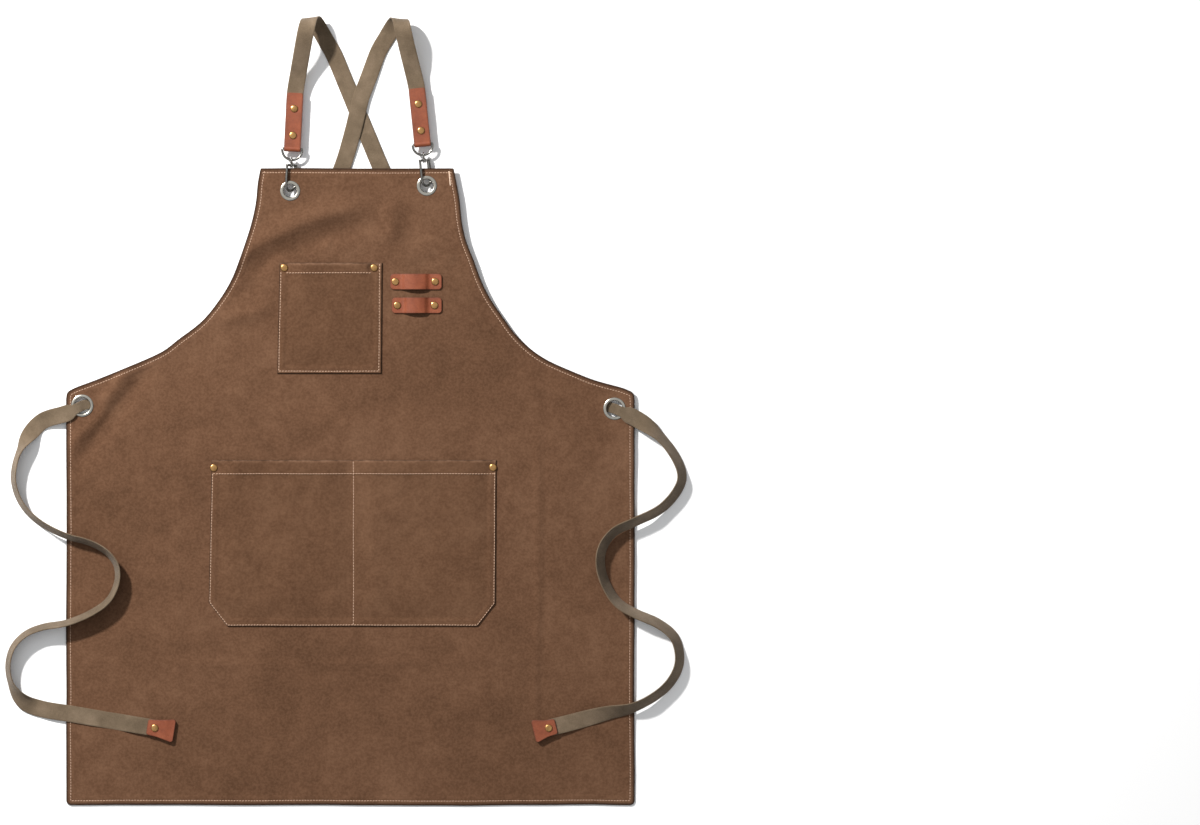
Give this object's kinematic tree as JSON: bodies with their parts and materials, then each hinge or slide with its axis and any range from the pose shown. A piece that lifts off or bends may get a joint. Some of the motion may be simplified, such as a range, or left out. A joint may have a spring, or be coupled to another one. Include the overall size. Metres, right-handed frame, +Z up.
{
  "type": "butcher apron",
  "caption": "Canvas butcher apron with chest and hand pockets, leather tool loops, cross-back webbing straps on swivel snap hooks, and long waist ties.",
  "frame": {"origin": "centre of the apron's footprint without the waist ties, on the surface it lies on", "axes": "+Z up out of the apron's front, +Y towards the shoulder straps, +X to the right seen from the front"},
  "size_m": [0.8176, 0.9458, 0.0345],
  "materials": {
    "canvas": "waxed cotton canvas, brown, matt, softly mottled",
    "webbing": "woven cotton webbing, khaki brown",
    "leather": "tan leather, smooth, cut edges",
    "brass": "antique brass",
    "nickel": "polished nickel plate",
    "steel": "plain steel"
  },
  "bodies": {
    "apron": {"canvas_body": "canvas", "chest_pocket": "canvas", "hand_pocket": "canvas", "upper_tool_loop": "leather", "lower_tool_loop": "leather", "chest_pocket_rivet_l": "brass", "chest_pocket_rivet_r": "brass", "hand_pocket_rivet_l": "brass", "hand_pocket_rivet_r": "brass", "upper_tool_loop_rivet_l": "brass", "upper_tool_loop_rivet_r": "brass", "lower_tool_loop_rivet_l": "brass", "lower_tool_loop_rivet_r": "brass", "left_bib_eyelet": "nickel", "left_bib_washer": "nickel", "left_waist_eyelet": "nickel", "left_waist_washer": "nickel", "left_shoulder_strap": "webbing", "left_tie": "webbing", "left_tie_tip": "leather", "left_tie_tip_rivet": "brass", "left_strap_tab": "leather", "left_tab_rivet_1": "brass", "left_tab_rivet_2": "brass", "right_bib_eyelet": "nickel", "right_bib_washer": "nickel", "right_waist_eyelet": "nickel", "right_waist_washer": "nickel", "right_shoulder_strap": "webbing", "right_tie": "webbing", "right_tie_tip": "leather", "right_tie_tip_rivet": "brass", "right_strap_tab": "leather", "right_tab_rivet_1": "brass", "right_tab_rivet_2": "brass"},
    "left_ring": {"left_d_ring": "nickel"},
    "left_eye": {"left_swivel_eye": "nickel"},
    "left_hook": {"left_snap_hook": "nickel", "left_bolt_spring": "steel"},
    "left_bolt": {"left_snap_bolt": "steel"},
    "right_ring": {"right_d_ring": "nickel"},
    "right_eye": {"right_swivel_eye": "nickel"},
    "right_hook": {"right_snap_hook": "nickel", "right_bolt_spring": "steel"},
    "right_bolt": {"right_snap_bolt": "steel"}
  },
  "joints": [
    {"name": "left_ring_tilt", "type": "hinge", "parent": "apron", "child": "left_ring", "pos_m": [-0.06943, 0.31433, 0.0092], "axis": [0.9987, -0.051, 0], "range_deg": [-2.5, 2.5]},
    {"name": "left_eye_tilt", "type": "hinge", "parent": "left_ring", "child": "left_eye", "pos_m": [-0.07012, 0.30085, 0.0092], "axis": [0.9987, -0.051, 0], "range_deg": [-2.5, 2.5]},
    {"name": "left_hook_swivel", "type": "hinge", "parent": "left_eye", "child": "left_hook", "pos_m": [-0.07045, 0.29436, 0.0092], "axis": [0.051, 0.9987, 0], "range_deg": [0, 100]},
    {"name": "left_bolt_slide", "type": "slide", "parent": "left_hook", "child": "left_bolt", "axis": [0.051, 0.9987, 0], "range_m": [0, 0.005], "stiffness_N_per_m": 300, "springref_m": -0.003, "deforming": ["left_bolt_spring"]},
    {"name": "right_ring_tilt", "type": "hinge", "parent": "apron", "child": "right_ring", "pos_m": [0.08663, 0.32013, 0.0092], "axis": [0.9947, 0.1025, 0], "range_deg": [-2.5, 2.5]},
    {"name": "right_eye_tilt", "type": "hinge", "parent": "right_ring", "child": "right_eye", "pos_m": [0.08802, 0.30671, 0.0092], "axis": [0.9947, 0.1025, 0], "range_deg": [-2.5, 2.5]},
    {"name": "right_hook_swivel", "type": "hinge", "parent": "right_eye", "child": "right_hook", "pos_m": [0.08868, 0.30024, 0.0092], "axis": [-0.1025, 0.9947, 0], "range_deg": [0, 100]},
    {"name": "right_bolt_slide", "type": "slide", "parent": "right_hook", "child": "right_bolt", "axis": [-0.1025, 0.9947, 0], "range_m": [0, 0.005], "stiffness_N_per_m": 300, "springref_m": -0.003, "deforming": ["right_bolt_spring"]}
  ],
  "couplings": [
    {"joint": "left_eye_tilt", "follows": "left_ring_tilt", "ratio": -1},
    {"joint": "right_eye_tilt", "follows": "right_ring_tilt", "ratio": -1}
  ]
}
